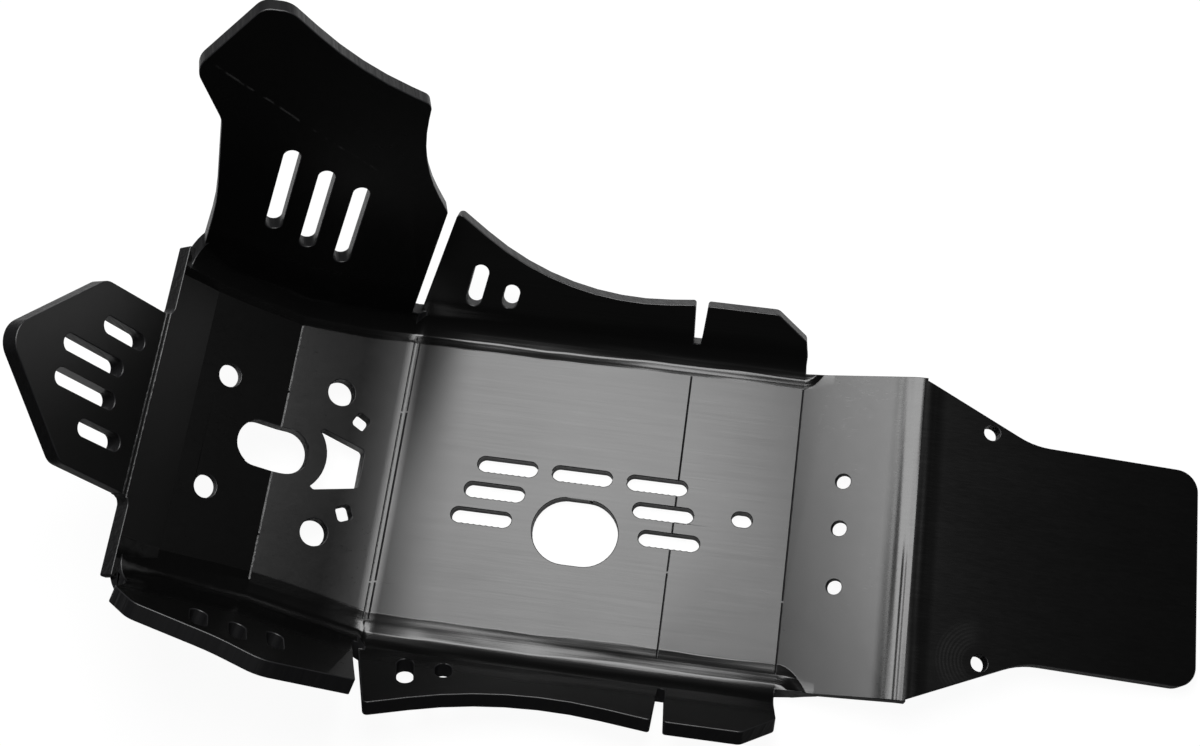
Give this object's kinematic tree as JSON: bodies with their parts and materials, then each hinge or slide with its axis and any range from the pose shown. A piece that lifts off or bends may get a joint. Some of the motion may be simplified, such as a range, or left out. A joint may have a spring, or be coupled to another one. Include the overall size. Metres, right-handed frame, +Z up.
{
  "type": "motorcycle skid plate",
  "caption": "Folded plastic sheet that guards a motorcycle's engine cradle from below, with raised side wings, drain slots and a tongue under the suspension linkage.",
  "frame": {"origin": "on the underside of the flat main floor, at the middle of its length, on the centre plane", "axes": "+X forward to the front wheel, +Y to the rider's left, +Z up towards the engine"},
  "size_m": [0.5667, 0.2872, 0.209],
  "materials": {
    "black_plastic": "satin black polyethylene sheet with a fine lengthwise grain, glossy where it was heated and folded"
  },
  "bodies": {
    "root": {"skid_plate": "black_plastic"}
  },
  "joints": []
}
